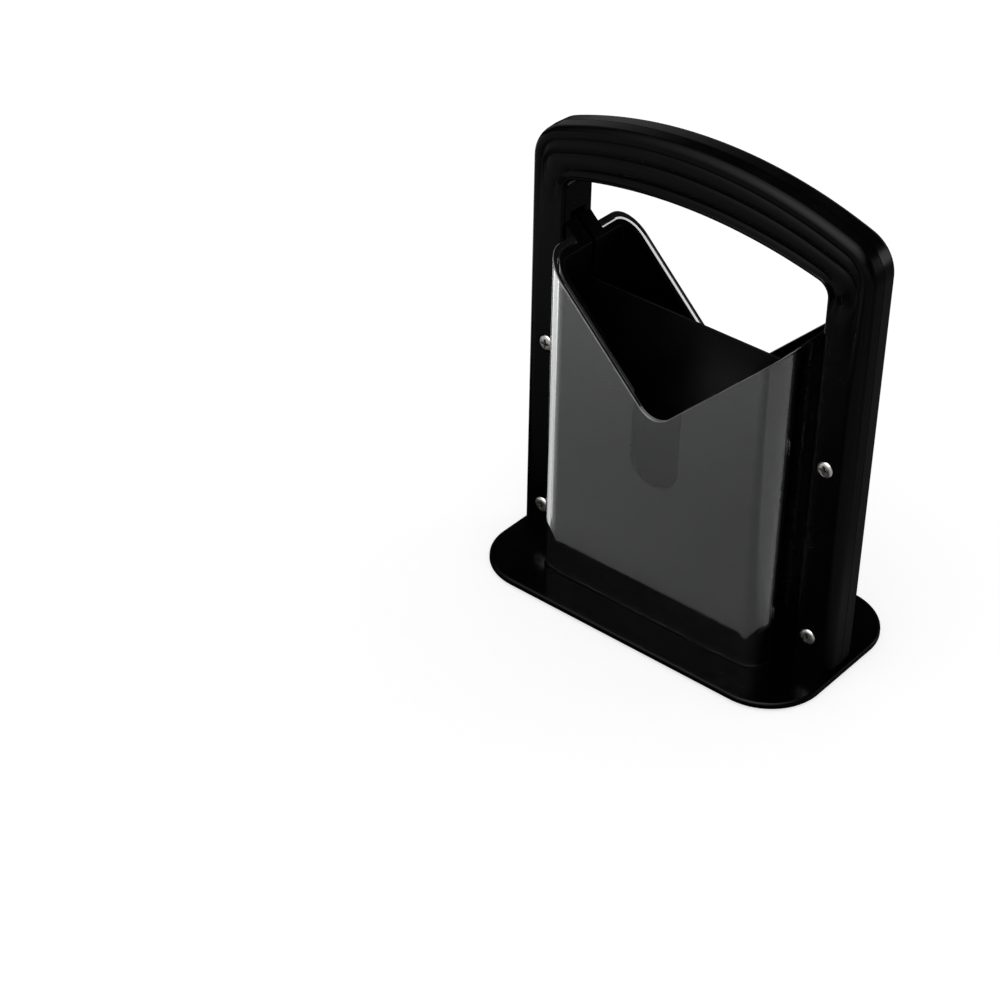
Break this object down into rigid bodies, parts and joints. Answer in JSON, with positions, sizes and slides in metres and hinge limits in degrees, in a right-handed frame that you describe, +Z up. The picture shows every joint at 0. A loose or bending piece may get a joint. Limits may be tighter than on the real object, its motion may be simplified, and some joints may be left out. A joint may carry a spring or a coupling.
{
  "type": "bagel guillotine slicer",
  "caption": "Countertop bagel slicer: an arched black handle carries a blade down between two clear-fronted pocket halves with V-shaped mouths on a rounded base plate.",
  "frame": {"origin": "centre of the footprint, on the surface that the feet stand on", "axes": "+X along the blade to the right, +Y to the rear, +Z up along the blade's travel"},
  "size_m": [0.184, 0.099, 0.235],
  "materials": {
    "black_plastic": "glossy",
    "clear_plastic": "clear, polished",
    "coated_steel": "satin non-stick coating",
    "nickel_steel": "bright nickel plating",
    "zinc_steel": "zinc plating",
    "foot_rubber": "matte"
  },
  "bodies": {
    "stand": {"base_plate": "black_plastic", "base_screws": "zinc_steel", "foot_front_left": "foot_rubber", "foot_front_right": "foot_rubber", "foot_rear_left": "foot_rubber", "foot_rear_right": "foot_rubber", "front_guide": "black_plastic", "rear_guide": "black_plastic", "front_shield": "clear_plastic", "rear_shield": "clear_plastic"},
    "handle": {"handle_front_shell": "black_plastic", "handle_rear_shell": "black_plastic", "blade": "coated_steel", "handle_screws": "nickel_steel"}
  },
  "joints": [
    {"name": "handle_slide", "type": "slide", "parent": "stand", "child": "handle", "axis": [0, 0, 1], "range_m": [0, 0.13]}
  ]
}
